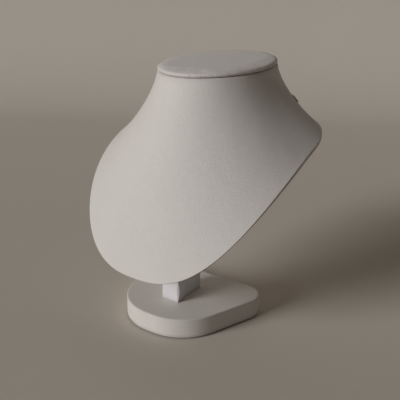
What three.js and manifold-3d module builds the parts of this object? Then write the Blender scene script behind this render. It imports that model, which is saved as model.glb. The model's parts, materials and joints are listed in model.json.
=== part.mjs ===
// A necklace display bust: a padded oval cap on a flared, hollow bust, standing on a post and a rounded base.
// Millimetres, +Z up. The origin is the middle of the post's footprint, on the surface under the base.
// The front of the bust faces -Y, and +X is the wearer's left shoulder.
import * as THREE from "three";
import { mergeVertices } from "three/addons/utils/BufferGeometryUtils.js";
import { ParametricGeometry } from "three/addons/geometries/ParametricGeometry.js";
import Module from "manifold-3d";

const wasm = await Module();
wasm.setup();

const { sin, cos, tan, abs, PI } = Math;
const radians = THREE.MathUtils.degToRad;

// ---- Driving dimensions ----

const GAP = 0.3; // between pieces that touch
const SKIN = 0.9; // leatherette

const BASE_HEIGHT = 20;
const BASE_FRONT = 50.9; // from the post's middle to the front edge
const BASE_BACK = 50.3; // from the post's middle to the back edge
const BASE_HALF_WIDTH = 66;
const BASE_FRONT_RADIUS = 47;
const BASE_BACK_RADIUS = 19.5;
const BASE_FRONT_FLAT = 8.4;
const BASE_COVER_LOW = 0.5; // the covering stops short of the surface below
const PAD_THICK = 1.5;
const PAD_INSET = 1.6;

const POST_WIDTH = 18;
const POST_DEPTH = 38.6;
const POST_LAP = 1.2; // how far the wrap's free edge stands past the corner
const POST_LAP_WIDTH = 6;
const SEAM_BITE = 0.02; // glued layers run this far into each other, so that they join

const NECK_HALF_WIDTH = 52.7;
const NECK_HALF_DEPTH = 62.4;
const NECK_Y = 55.2;
const NECK_Z = 231.8;
const NECK_TILT = radians(5.7); // the front of the oval is the low side

const RIM_HALF_WIDTH = 101.5;
const RIM_FRONT_REACH = 118.5;
const RIM_BACK_REACH = 75.5;
const RIM_Y = 49.2;
const RIM_SQUARENESS = 2.59; // 2 is an ellipse
const RIM_FRONT_Z = 62.4;
const RIM_BACK_Z = 187.8;
const RIM_FRONT_SLOPE = radians(59.1);
const RIM_BACK_SLOPE = radians(17);

// How the bust's surface leaves the neck and meets the rim: angles from the vertical, and the length of
// the curve's handles as a share of the line, each at the front, the side and the back.
const NECK_ANGLES = { front: radians(11.4), side: radians(7.2), back: radians(4.9) };
const RIM_ANGLES = { front: radians(14), side: radians(52.1), back: radians(63.5) };
const NECK_PULLS = { front: 0.245, side: 0.227, back: 0.227 };
const RIM_PULLS = { front: 0.31, side: 0.322, back: 0.322 };

const SHELL_WALL = 3;
const EDGE_GAP = 0.15; // the bust's cut edges stop this short of the planes that bound it
const UNDER_BOARD = 2.6;
const BLOCK_WIDTH = 30;
const BLOCK_FRONT = -16;
const BLOCK_BACK = 28;
const BLOCK_TOP_Z = 156;
const NECK_BOARD = 9;

const CAP_OVERHANG = 1;
const CAP_LIFT = 0.6; // groove between the neck and the cap
const CAP_HEIGHT = 8.6;
const CAP_CROWN = 3; // how far the middle of the cap stands above its shoulder
const CAP_ROUND = 3.4;
const CAP_BOARD = 2;
const CAP_BOARD_ROOM = 1; // between the board's edge and the covering, for the pleats
const CAP_HEM = 11; // leatherette turned in under the board
const CAP_HEM_ROUND = 1;
const CAP_HEM_SPREAD = 0.2; // the pleats thicken the covering above the hem

const SCREW_RADIUS = 2;
const SCREW_HEAD_RADIUS = 4.2;
const SCREW_RIM = 0.4; // the straight edge round a countersunk head
const SCREW_POINT = 0.9; // how wide the shank stays at the foot of its point
const SCREW_CHAMFER = 0.5;
const SCREW_SPACING = 18;
const BASE_SCREW_LENGTH = 42;
const BASE_SCREW_SINK = 5;
const BUST_SCREW_LENGTH = 54;
const WASHER_RADIUS = 5.5;
const WASHER_THICK = 1.2;
const CAP_SCREW_RADIUS = 1.6;
const CAP_SCREW_HEAD_RADIUS = 3.2;
const CAP_SCREW_SPACING = 50;

const STRAP_LOW = 197;
const STRAP_HEIGHT = 8.5;
const STRAP_THICK = 1.1;
const STRAP_ROOM = 1.7; // between the neck's skin and the strap, for a chain
const STRAP_END = radians(124); // round from the front, on each side
const STRAP_TAB = radians(13); // the fixed end
const PATCH_LENGTH = radians(14);
const PATCH_THICK = 0.5;
const RIVET_HEAD_RADIUS = 2.6;
const RIVET_RADIUS = 1.2;
const RIVET_HEAD = 0.9;
const RIVET_LENGTH = 9;
const HINGE_SLIT = radians(0.3); // half the fold between the strap and its fixed end
const PATCH_INSET = 1; // bare strap above and below the patches

const ROUND_STEPS = 48;
const FLARE_STEPS = 8;
const UNDER_STEPS = 24;
const SCREW_STEPS = 12;
const FAR = 1.5 * NECK_Z; // longer than the object, for cutting solids

// ---- Materials ----

function material(color, roughness, metalness = 0) {
  return new THREE.MeshStandardMaterial({ color, roughness, metalness });
}
const LEATHERETTE = 0xc9c4bd;
const FIBREBOARD = 0x9a7a55;
const STEEL = 0xb9bcc0;
const leatherette = () => material(LEATHERETTE, 0.62);
const fibreboard = () => material(FIBREBOARD, 0.85);
const steel = () => material(STEEL, 0.35, 1);

// ---- Solids ----

// A closed geometry as a solid that can be joined and cut.
function solid(geometry) {
  const bare = geometry.clone();
  bare.deleteAttribute("normal");
  bare.deleteAttribute("uv");
  const merged = mergeVertices(bare, 1e-4);
  const index = merged.index.array;
  const triangles = [];
  for (let i = 0; i < index.length; i += 3) {
    const [a, b, c] = [index[i], index[i + 1], index[i + 2]];
    if (a !== b && b !== c && c !== a) triangles.push(a, b, c);
  }
  const mesh = new wasm.Mesh({
    numProp: 3,
    vertProperties: new Float32Array(merged.attributes.position.array),
    triVerts: new Uint32Array(triangles),
  });
  return new wasm.Manifold(mesh);
}

// A solid back as a geometry.
function geometryOf(shape) {
  const { vertProperties, triVerts } = shape.getMesh();
  const geometry = new THREE.BufferGeometry();
  geometry.setAttribute("position", new THREE.BufferAttribute(vertProperties, 3));
  geometry.setIndex(new THREE.BufferAttribute(triVerts, 1));
  geometry.computeVertexNormals();
  return geometry;
}

// An outline in X and Y, standing between two heights.
function plate(outline, low, high) {
  const settings = { depth: high - low, bevelEnabled: false, curveSegments: 10 };
  return new THREE.ExtrudeGeometry(outline, settings).translate(0, 0, low);
}

// An outline in Y and Z, running across the whole width along X.
function sideProfile(outline, halfWidth = FAR / 2) {
  const settings = { depth: 2 * halfWidth, bevelEnabled: false };
  const turn = new THREE.Matrix4().makeBasis(
    new THREE.Vector3(0, 1, 0),
    new THREE.Vector3(0, 0, 1),
    new THREE.Vector3(1, 0, 0),
  );
  return new THREE.ExtrudeGeometry(outline, settings).translate(0, 0, -halfWidth).applyMatrix4(turn);
}

function box(width, depth, low, high) {
  return new THREE.BoxGeometry(width, depth, high - low).translate(0, 0, (low + high) / 2);
}

// A round bar along Z.
function bar(radius, low, high, x = 0, y = 0) {
  const geometry = new THREE.CylinderGeometry(radius, radius, high - low, SCREW_STEPS);
  return geometry.rotateX(PI / 2).translate(x, y, (low + high) / 2);
}

// Profile points (radius, height) turned about Z.
function turned(points, steps = SCREW_STEPS) {
  const profile = points.map(([radius, height]) => new THREE.Vector2(radius, height));
  return new THREE.LatheGeometry(profile, steps).rotateX(PI / 2);
}

// A countersunk screw that points up, with the flat of its head at zero.
function screw(length, radius, headRadius) {
  const cone = headRadius - radius;
  return turned([
    [0, length],
    [radius * SCREW_POINT, length - 2 * radius],
    [radius, length - 2 * radius - SCREW_CHAMFER],
    [radius, cone],
    [headRadius, SCREW_RIM],
    [headRadius, 0],
    [0, 0],
  ].reverse());
}

const group = new THREE.Group();
function add(name, geometry, look, parent = group) {
  const mesh = new THREE.Mesh(geometry, look);
  mesh.name = name;
  parent.add(mesh);
  return mesh;
}

// ---- Base: a fibreboard block under leatherette, with a pad below ----

// The base's outline seen from above: a wide arc in front, slanted sides and two round back corners.
function baseOutline(inset) {
  const front = new THREE.Vector2(BASE_FRONT_FLAT / 2, BASE_FRONT_RADIUS - BASE_FRONT);
  const back = new THREE.Vector2(BASE_HALF_WIDTH - BASE_BACK_RADIUS, BASE_BACK - BASE_BACK_RADIUS);
  const apart = back.clone().sub(front);
  const side = apart.angle() - Math.acos((BASE_FRONT_RADIUS - BASE_BACK_RADIUS) / apart.length());
  const outline = new THREE.Shape();
  outline.absarc(front.x, front.y, BASE_FRONT_RADIUS - inset, -PI / 2, side);
  outline.absarc(back.x, back.y, BASE_BACK_RADIUS - inset, side, PI / 2);
  outline.absarc(-back.x, back.y, BASE_BACK_RADIUS - inset, PI / 2, PI - side);
  outline.absarc(-front.x, front.y, BASE_FRONT_RADIUS - inset, PI - side, 1.5 * PI);
  outline.closePath();
  return outline;
}

const BOARD_LOW = PAD_THICK + GAP;
const BOARD_HIGH = BASE_HEIGHT - SKIN - GAP;
const SCREW_PLACES = { front: -SCREW_SPACING / 2, rear: SCREW_SPACING / 2 };

const postWindow = solid(box(POST_WIDTH + 2 * GAP, POST_DEPTH + 2 * GAP, 0, FAR));
const baseCover = solid(plate(baseOutline(0), BASE_COVER_LOW, BASE_HEIGHT))
  .subtract(solid(plate(baseOutline(SKIN), 0, BASE_HEIGHT - SKIN)))
  .subtract(postWindow);
add("base_cover", geometryOf(baseCover), leatherette());

// Each screw stands in a straight counterbore that takes its head's cone.
let baseBoard = solid(plate(baseOutline(SKIN + GAP), BOARD_LOW, BOARD_HIGH));
for (const y of Object.values(SCREW_PLACES)) {
  baseBoard = baseBoard
    .subtract(solid(bar(SCREW_HEAD_RADIUS + GAP, 0, BOARD_LOW + BASE_SCREW_SINK, 0, y)))
    .subtract(solid(bar(SCREW_RADIUS + GAP, 0, FAR, 0, y)));
}
add("base_board", geometryOf(baseBoard), fibreboard());
add("base_pad", plate(baseOutline(PAD_INSET), 0, PAD_THICK), material(0x2a2927, 0.95));

// ---- Underside: one curved board along the rim, with its own leatherette ----

// Height of the rim's surface at a distance from the front, as a cubic with a slope at each end.
function underHeight(y) {
  const start = RIM_Y - RIM_FRONT_REACH;
  const end = RIM_Y + RIM_BACK_REACH;
  const span = end - start;
  const u = (y - start) / span;
  if (u < 0) return RIM_FRONT_Z + (y - start) * tan(RIM_FRONT_SLOPE);
  if (u > 1) return RIM_BACK_Z + (y - end) * tan(RIM_BACK_SLOPE);
  const low = (2 * u ** 3 - 3 * u ** 2 + 1) * RIM_FRONT_Z;
  const high = (3 * u ** 2 - 2 * u ** 3) * RIM_BACK_Z;
  const leaving = (u ** 3 - 2 * u ** 2 + u) * span * tan(RIM_FRONT_SLOPE);
  const arriving = (u ** 3 - u ** 2) * span * tan(RIM_BACK_SLOPE);
  return low + high + leaving + arriving;
}

// The space between two copies of that surface, moved up or down.
function underBand(low, high) {
  const front = RIM_Y - RIM_FRONT_REACH - 20;
  const back = RIM_Y + RIM_BACK_REACH + 20;
  const rows = Array.from({ length: UNDER_STEPS + 1 }, (_, i) => front + ((back - front) * i) / UNDER_STEPS);
  const bottom = rows.map((y) => new THREE.Vector2(y, Math.max(underHeight(y) + low, -FAR)));
  const top = rows.map((y) => new THREE.Vector2(y, underHeight(y) + high)).reverse();
  return solid(sideProfile(new THREE.Shape([...bottom, ...top])));
}

// The rim's point at an angle round from the front.
function rimPoint(angle) {
  const reach = cos(angle) > 0 ? RIM_FRONT_REACH : RIM_BACK_REACH;
  const across = abs(sin(angle) / RIM_HALF_WIDTH) ** RIM_SQUARENESS;
  const along = abs(cos(angle) / reach) ** RIM_SQUARENESS;
  const radius = (across + along) ** (-1 / RIM_SQUARENESS);
  const y = RIM_Y - radius * cos(angle);
  return new THREE.Vector3(radius * sin(angle), y, underHeight(y));
}

const roundAngles = Array.from({ length: ROUND_STEPS }, (_, i) => (2 * PI * i) / ROUND_STEPS);
const rimOutline = new THREE.Shape(
  roundAngles.map((angle) => {
    const { x, y } = rimPoint(angle);
    return new THREE.Vector2(x, y);
  }),
);
const rimPrism = solid(plate(rimOutline, 0, FAR));
const UNDER_SKIN_HIGH = -GAP - UNDER_BOARD - GAP;
const UNDER_LOW = UNDER_SKIN_HIGH - SKIN;

let underBoard = rimPrism.intersect(underBand(-GAP - UNDER_BOARD, -GAP));
let underCover = rimPrism.intersect(underBand(UNDER_LOW, UNDER_SKIN_HIGH));
const blockBox = box(BLOCK_WIDTH, BLOCK_BACK - BLOCK_FRONT, 0, BLOCK_TOP_Z);
blockBox.translate(0, (BLOCK_BACK + BLOCK_FRONT) / 2, 0);
let fixingBlock = solid(blockBox).intersect(underBand(0, FAR));
for (const y of Object.values(SCREW_PLACES)) {
  const hole = solid(bar(SCREW_RADIUS + GAP, 0, FAR, 0, y));
  underBoard = underBoard.subtract(hole);
  underCover = underCover.subtract(hole);
  fixingBlock = fixingBlock.subtract(hole);
}
add("under_board", geometryOf(underBoard), fibreboard());
add("under_cover", geometryOf(underCover), leatherette());
add("fixing_block", geometryOf(fixingBlock), material(0xc8a878, 0.8));

// ---- Post: a block cut to the slope of the underside, wrapped in leatherette ----

const belowBust = underBand(-FAR, UNDER_LOW - GAP);
const coreWidth = POST_WIDTH - 2 * (SKIN + GAP);
const coreDepth = POST_DEPTH - 2 * (SKIN + GAP);
let postBlock = solid(box(coreWidth, coreDepth, BOARD_HIGH + GAP, FAR)).intersect(belowBust);
for (const y of Object.values(SCREW_PLACES)) {
  postBlock = postBlock.subtract(solid(bar(SCREW_RADIUS + GAP, 0, FAR, 0, y)));
}
add("post_block", geometryOf(postBlock), fibreboard());

const lap = box(POST_LAP_WIDTH + POST_LAP, SKIN, BASE_HEIGHT + GAP, FAR).translate(
  POST_WIDTH / 2 + (POST_LAP - POST_LAP_WIDTH) / 2,
  -POST_DEPTH / 2 - SKIN / 2 + SEAM_BITE,
  0,
);
const postCover = solid(box(POST_WIDTH, POST_DEPTH, BASE_HEIGHT + GAP, FAR))
  .subtract(solid(box(POST_WIDTH - 2 * SKIN, POST_DEPTH - 2 * SKIN, 0, FAR)))
  .add(solid(lap))
  .intersect(belowBust);
add("post_cover", geometryOf(postCover), leatherette());

// Two screws go up into the post from below the base, and two come down into it through the fixing block.
const headHeight = SCREW_HEAD_RADIUS - SCREW_RADIUS;
const washerSeat = BLOCK_TOP_Z + GAP;
const washerHole = solid(bar(SCREW_RADIUS + GAP, -WASHER_THICK, 2 * WASHER_THICK));
const washer = solid(bar(WASHER_RADIUS, 0, WASHER_THICK)).subtract(washerHole);
for (const [place, y] of Object.entries(SCREW_PLACES)) {
  const fromBelow = screw(BASE_SCREW_LENGTH, SCREW_RADIUS, SCREW_HEAD_RADIUS);
  const baseScrew = add(`base_screw_${place}`, fromBelow, steel());
  baseScrew.position.set(0, y, BOARD_LOW + BASE_SCREW_SINK - headHeight);
  add(`bust_washer_${place}`, geometryOf(washer), steel()).position.set(0, y, washerSeat);
  const fromAbove = screw(BUST_SCREW_LENGTH, SCREW_RADIUS, SCREW_HEAD_RADIUS);
  const bustScrew = add(`bust_screw_${place}`, fromAbove, steel());
  bustScrew.rotation.x = PI;
  bustScrew.position.set(0, y, washerSeat + WASHER_THICK + GAP + headHeight);
}

// ---- Bust: a moulded shell under leatherette, open at the neck and underneath ----

const neckCentre = new THREE.Vector3(0, NECK_Y, NECK_Z);
const UP = new THREE.Vector3(0, 0, 1);
const ACROSS = new THREE.Vector3(1, 0, 0);

// A value at an angle round from the front, blended from its values at the front, the side and the back.
function between(values, angle) {
  const end = cos(angle) > 0 ? values.front : values.back;
  return values.side * sin(angle) ** 2 + end * cos(angle) ** 2;
}

// The line that runs down the bust at an angle round from the front, from the neck to the rim.
function flareLine(angle) {
  const outward = new THREE.Vector3(sin(angle), -cos(angle), 0);
  const neck = new THREE.Vector3(NECK_HALF_WIDTH * sin(angle), -NECK_HALF_DEPTH * cos(angle), 0)
    .applyAxisAngle(ACROSS, NECK_TILT)
    .add(neckCentre);
  const rim = rimPoint(angle);
  const length = neck.distanceTo(rim);
  const handle = (slope, pull) =>
    outward
      .clone()
      .multiplyScalar(sin(slope))
      .addScaledVector(UP, -cos(slope))
      .multiplyScalar(length * pull);
  const leaving = neck.clone().add(handle(between(NECK_ANGLES, angle), between(NECK_PULLS, angle)));
  const arriving = rim.clone().sub(handle(between(RIM_ANGLES, angle), between(RIM_PULLS, angle)));
  return new THREE.CubicBezierCurve3(neck, leaving, arriving, rim);
}

// A point of the bust's surface, sunk below it by a depth.
function flarePoint(angle, share, depth) {
  const step = 1e-3;
  const line = flareLine(angle);
  const point = line.getPoint(share);
  const along = line.getTangent(share);
  const beside = flareLine(angle + step).getPoint(share).sub(flareLine(angle - step).getPoint(share));
  const inward = beside.cross(along).normalize();
  return point.addScaledVector(inward, depth);
}

// The whole bust as one solid, sunk by a depth, and drawn out above the neck and below the rim.
function bustSolid(depth) {
  const stretch = 25;
  const rows = FLARE_STEPS + 4;
  const middle = new THREE.Vector3(0, RIM_Y, 0);
  const surface = (u, v, target) => {
    const angle = 2 * PI * (1 - u);
    const row = Math.round(v * rows);
    const share = THREE.MathUtils.clamp((row - 2) / FLARE_STEPS, 0, 1);
    target.copy(flarePoint(angle, share, depth));
    if (row <= 1) target.z += stretch;
    if (row === 0) target.copy(neckCentre).setZ(NECK_Z + stretch);
    if (row >= rows - 1) target.z -= stretch;
    if (row === rows) target.copy(middle).setZ(RIM_FRONT_Z);
  };
  return solid(new ParametricGeometry(surface, ROUND_STEPS, rows));
}

// Everything below the neck's plane, once that is moved up or down.
function belowNeck(lift) {
  const rise = (y) => NECK_Z + lift + (y - NECK_Y) * tan(NECK_TILT);
  const outline = new THREE.Shape();
  outline.moveTo(-FAR, -FAR);
  outline.lineTo(FAR, -FAR);
  outline.lineTo(FAR, rise(FAR));
  outline.lineTo(-FAR, rise(-FAR));
  return solid(sideProfile(outline));
}
const bustSpace = underBand(EDGE_GAP, FAR).intersect(belowNeck(-EDGE_GAP));

const shellDepth = SKIN + GAP;
let bustCover = bustSolid(0).subtract(bustSolid(SKIN)).intersect(bustSpace);
let bustShell = bustSolid(shellDepth).subtract(bustSolid(shellDepth + SHELL_WALL)).intersect(bustSpace);
const neckBoardSpace = belowNeck(-GAP).subtract(belowNeck(-GAP - NECK_BOARD));
let neckBoard = bustSolid(shellDepth + SHELL_WALL + GAP).intersect(neckBoardSpace);

// ---- Cap: foam on a thin board, under leatherette that is turned in below ----

const cap = new THREE.Group();
cap.position.copy(neckCentre);
cap.rotation.x = NECK_TILT;
group.add(cap);

const CAP_RADIUS = NECK_HALF_WIDTH + CAP_OVERHANG;
const CAP_STRETCH = (NECK_HALF_DEPTH + CAP_OVERHANG) / CAP_RADIUS;
const oval = (geometry) => geometry.scale(1, CAP_STRETCH, 1);

// The dome's profile from the side to the middle, sunk by a depth: a quarter round, then the crown.
function domeProfile(depth) {
  const shoulder = CAP_RADIUS - CAP_ROUND;
  const roundFoot = CAP_HEIGHT - CAP_CROWN - CAP_ROUND;
  const points = [];
  for (let i = 0; i <= 3; i++) {
    const angle = (i / 3) * (PI / 2);
    const reach = CAP_ROUND - depth;
    points.push([shoulder + reach * cos(angle), roundFoot + reach * sin(angle)]);
  }
  for (let i = 3; i >= 0; i--) {
    const share = i / 4;
    points.push([shoulder * share, CAP_HEIGHT - depth - CAP_CROWN * share ** 2]);
  }
  return points;
}

const hemEdge = CAP_RADIUS - CAP_HEM;
const capCoverProfile = [
  ...domeProfile(SKIN).reverse(),
  [CAP_RADIUS - SKIN - CAP_HEM_SPREAD, CAP_LIFT + SKIN],
  [hemEdge, CAP_LIFT + SKIN],
  [hemEdge, CAP_LIFT],
  [CAP_RADIUS - CAP_HEM_ROUND, CAP_LIFT],
  [CAP_RADIUS, CAP_LIFT + CAP_HEM_ROUND],
  ...domeProfile(0),
];
add("cap_cover", oval(turned(capCoverProfile, ROUND_STEPS)), leatherette(), cap);

const capBoardLow = CAP_LIFT + SKIN + GAP;
const capBoardHigh = capBoardLow + CAP_BOARD;
const capBoardRadius = CAP_RADIUS - SKIN - CAP_BOARD_ROOM;
const capBoardProfile = [
  [0, capBoardLow],
  [capBoardRadius, capBoardLow],
  [capBoardRadius, capBoardHigh],
  [0, capBoardHigh],
];
const foamLow = capBoardHigh + GAP;
const foamProfile = [
  [0, foamLow],
  [CAP_RADIUS - CAP_ROUND, foamLow],
  ...domeProfile(SKIN + GAP).slice(3),
];
add("cap_foam", oval(turned(foamProfile, ROUND_STEPS)), material(0xe8e2c8, 0.95), cap);

// Two screws come up through the neck board into the cap's board. The cap's right is the wearer's right.
let capBoard = solid(oval(turned(capBoardProfile, ROUND_STEPS)));
const screwFoot = -GAP - NECK_BOARD;
const sinkHigh = screwFoot + CAP_SCREW_HEAD_RADIUS - CAP_SCREW_RADIUS + GAP;
const capScrewLength = capBoardHigh - screwFoot - 2 * GAP;
const CAP_SCREW_PLACES = { right: -CAP_SCREW_SPACING / 2, left: CAP_SCREW_SPACING / 2 };
cap.updateMatrixWorld(true);
for (const [side, x] of Object.entries(CAP_SCREW_PLACES)) {
  const bore = bar(CAP_SCREW_RADIUS + GAP, -FAR / 4, FAR / 4, x);
  const sink = bar(CAP_SCREW_HEAD_RADIUS + GAP, -FAR / 4, sinkHigh, x);
  capBoard = capBoard.subtract(solid(bore));
  neckBoard = neckBoard
    .subtract(solid(bore.applyMatrix4(cap.matrixWorld)))
    .subtract(solid(sink.applyMatrix4(cap.matrixWorld)));
  const fromBelow = screw(capScrewLength, CAP_SCREW_RADIUS, CAP_SCREW_HEAD_RADIUS);
  const capScrew = add(`cap_screw_${side}`, fromBelow, steel(), cap);
  capScrew.position.set(x, 0, screwFoot + GAP);
}
add("cap_board", geometryOf(capBoard), fibreboard(), cap);
add("neck_board", geometryOf(neckBoard), fibreboard());

// ---- Nape strap: a leatherette strip that keeps a chain at the back of the neck ----

// A layer standing off the bust's skin, between two distances, two heights and two angles from the front.
function neckLayer(near, far, low, high, from, to) {
  const edge = (angle) => new THREE.Vector2(FAR * sin(angle), NECK_Y - FAR * cos(angle));
  const wedge = new THREE.Shape([new THREE.Vector2(0, NECK_Y), edge(from), edge((from + to) / 2), edge(to)]);
  return bustSolid(-far).subtract(bustSolid(-near)).intersect(solid(plate(wedge, low, high)));
}

const strapHigh = STRAP_LOW + STRAP_HEIGHT;
const strapFar = STRAP_ROOM + STRAP_THICK;
const hingeAngle = 2 * PI - STRAP_END - STRAP_TAB;
const strapTo = hingeAngle - HINGE_SLIT;
const strap = neckLayer(STRAP_ROOM, strapFar, STRAP_LOW, strapHigh, STRAP_END, strapTo);
add("nape_strap", geometryOf(strap), leatherette());

const patchLow = STRAP_LOW + PATCH_INSET;
const patchHigh = strapHigh - PATCH_INSET;
const patchFrom = STRAP_END + radians(1);
const patchTo = patchFrom + PATCH_LENGTH;
const hookPatch = neckLayer(GAP / 2, GAP / 2 + PATCH_THICK, patchLow, patchHigh, patchFrom, patchTo);
add("hook_patch", geometryOf(hookPatch), material(0xdedbd4, 0.9));
const loopFar = STRAP_ROOM - GAP / 2;
const loopPatch = neckLayer(loopFar - PATCH_THICK, loopFar, patchLow, patchHigh, patchFrom, patchTo);
add("loop_patch", geometryOf(loopPatch), material(0xdedbd4, 0.9));

const anchorFrom = hingeAngle + HINGE_SLIT;
const anchorTo = hingeAngle + STRAP_TAB;
let anchor = neckLayer(GAP, strapFar, STRAP_LOW, strapHigh, anchorFrom, anchorTo);

// The rivet stands square to the skin in the middle of the fixed end.
const rivetAngle = hingeAngle + STRAP_TAB / 2;
function skinPoint(angle, height) {
  const line = flareLine(angle);
  let [low, high] = [0, 1];
  for (let i = 0; i < 30; i++) {
    const middle = (low + high) / 2;
    if (line.getPoint(middle).z > height) low = middle;
    else high = middle;
  }
  const outer = flarePoint(angle, low, 0);
  return { outer, outward: outer.clone().sub(flarePoint(angle, low, 1)) };
}

const rivetSeat = skinPoint(rivetAngle, STRAP_LOW + STRAP_HEIGHT / 2);
const rivetTurn = new THREE.Quaternion().setFromUnitVectors(UP, rivetSeat.outward.clone().normalize());
const rivetPlace = new THREE.Matrix4().compose(rivetSeat.outer, rivetTurn, new THREE.Vector3(1, 1, 1));
const rivetBore = solid(bar(RIVET_RADIUS + GAP, -RIVET_LENGTH, RIVET_LENGTH).applyMatrix4(rivetPlace));
anchor = anchor.subtract(rivetBore);
bustCover = bustCover.subtract(rivetBore);
bustShell = bustShell.subtract(rivetBore);
const rivetTop = strapFar + GAP;
const rivet = turned([
  [0, rivetTop - RIVET_LENGTH],
  [RIVET_RADIUS, rivetTop - RIVET_LENGTH],
  [RIVET_RADIUS, rivetTop],
  [RIVET_HEAD_RADIUS, rivetTop],
  [RIVET_HEAD_RADIUS * 0.7, rivetTop + RIVET_HEAD * 0.8],
  [0, rivetTop + RIVET_HEAD],
]).applyMatrix4(rivetPlace);
add("anchor_rivet", rivet, steel());
add("strap_anchor", geometryOf(anchor), leatherette());
add("bust_cover", geometryOf(bustCover), leatherette());
add("bust_shell", geometryOf(bustShell), material(0xd8d4cc, 0.7));

export default group;
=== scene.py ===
import json
import math

import bpy
from mathutils import Matrix, Vector


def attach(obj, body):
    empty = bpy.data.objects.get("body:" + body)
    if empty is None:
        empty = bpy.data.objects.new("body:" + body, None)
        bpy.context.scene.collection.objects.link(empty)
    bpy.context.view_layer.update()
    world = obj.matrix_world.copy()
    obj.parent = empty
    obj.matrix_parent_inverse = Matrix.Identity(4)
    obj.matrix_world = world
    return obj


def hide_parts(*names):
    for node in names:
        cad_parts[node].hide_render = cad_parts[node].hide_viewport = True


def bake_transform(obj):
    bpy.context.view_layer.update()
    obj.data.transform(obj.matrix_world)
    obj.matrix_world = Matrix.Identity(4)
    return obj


# A necklace display bust: a padded oval cap on a flared, hollow bust, on a post and a rounded base.
# Metres, +Z up. The front of the bust faces -Y, and +X is the wearer's left.
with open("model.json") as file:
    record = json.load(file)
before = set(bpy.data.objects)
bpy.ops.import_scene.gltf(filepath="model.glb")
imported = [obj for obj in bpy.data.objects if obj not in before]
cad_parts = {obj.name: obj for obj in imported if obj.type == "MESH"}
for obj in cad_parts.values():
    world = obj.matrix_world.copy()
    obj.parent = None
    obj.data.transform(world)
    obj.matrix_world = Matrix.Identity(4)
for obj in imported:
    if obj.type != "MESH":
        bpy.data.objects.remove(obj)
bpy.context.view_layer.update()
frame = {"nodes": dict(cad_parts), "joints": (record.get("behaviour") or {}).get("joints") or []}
nodes = frame["nodes"]
MM = 0.001


# ---- Base pad ----
# A sheet of dense black felt glued under the base board, so that the stand doesn't scratch a counter.
# It is cut a little smaller than the board, and its edge is soft from cutting.

class Varying:
    """A number, colour or vector that changes over a surface. Sums with it add Math nodes."""

    def __init__(self, finish, socket):
        self.finish = finish
        self.socket = socket

    def maths(self, operation, first, second):
        return self.finish.node("Math", {"operation": operation}, {0: first, 1: second})

    def __add__(self, other):
        return self.maths("ADD", self, other)

    def __sub__(self, other):
        return self.maths("SUBTRACT", self, other)

    def __rsub__(self, other):
        return self.maths("SUBTRACT", other, self)

    def __mul__(self, other):
        return self.maths("MULTIPLY", self, other)

    __radd__ = __add__
    __rmul__ = __mul__


class Finish:
    """A material with one Principled shader, and the nodes that vary it."""

    def __init__(self, name, **constants):
        self.material = bpy.data.materials.new(name)
        self.material.use_nodes = True
        self.tree = self.material.node_tree
        self.shader = self.tree.nodes["Principled BSDF"]
        for words, value in constants.items():
            self.shader.inputs[words.replace("_", " ")].default_value = value

    def feed(self, socket, value):
        if isinstance(value, Varying):
            self.tree.links.new(value.socket, socket)
        else:
            socket.default_value = value

    def node(self, kind, settings=None, inputs=None, output=0):
        made = self.tree.nodes.new("ShaderNode" + kind)
        for setting, value in (settings or {}).items():
            setattr(made, setting, value)
        for socket, value in (inputs or {}).items():
            self.feed(made.inputs[socket], value)
        return Varying(self, made.outputs[output])

    def between(self, share, first, second):
        """A colour that goes from the first to the second as share goes from 0 to 1."""
        settings = {"data_type": "RGBA", "clamp_factor": True}
        return self.node("Mix", settings, {0: share, 6: first, 7: second}, output=2)

    def place(self):
        return self.node("TexCoord", output="Object")

    def noise(self, scale, detail=2.0):
        inputs = {"Vector": self.place(), "Scale": scale, "Detail": detail}
        return self.node("TexNoise", {"noise_dimensions": "3D"}, inputs, output="Fac")

    def cells(self, scale, feature="F1"):
        inputs = {"Vector": self.place(), "Scale": scale}
        return self.node("TexVoronoi", {"feature": feature}, inputs, output="Distance")

    def painted(self, attribute):
        """A number that the mesh carries at each point."""
        return self.node("Attribute", {"attribute_name": attribute}, output="Fac")

    def raise_by(self, height, depth):
        bumped = self.node("Bump", None, {"Height": height, "Distance": depth})
        self.feed(self.shader.inputs["Normal"], bumped)

    def paint(self, **values):
        for words, value in values.items():
            self.feed(self.shader.inputs[words.replace("_", " ")], value)


def rgb(red, green, blue):
    return (red, green, blue, 1.0)


def select_nothing():
    bpy.ops.object.select_all(action="DESELECT")


def select_only(piece):
    select_nothing()
    piece.select_set(True)
    bpy.context.view_layer.objects.active = piece


def edit_all(piece, *steps):
    """Runs edit-mode steps on the whole of a piece."""
    select_only(piece)
    bpy.ops.object.mode_set(mode="EDIT")
    bpy.ops.mesh.select_all(action="SELECT")
    for step in steps:
        step()
    bpy.ops.object.mode_set(mode="OBJECT")


def modify(piece, kind, **settings):
    """Adds a modifier and applies it."""
    select_only(piece)
    bpy.ops.object.modifier_add(type=kind)
    modifier = piece.modifiers[-1]
    for setting, value in settings.items():
        setattr(modifier, setting, value)
    bpy.ops.object.modifier_apply(modifier=modifier.name)


def smooth(piece, degrees=45):
    select_only(piece)
    bpy.ops.object.shade_smooth_by_angle(angle=math.radians(degrees))


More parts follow.
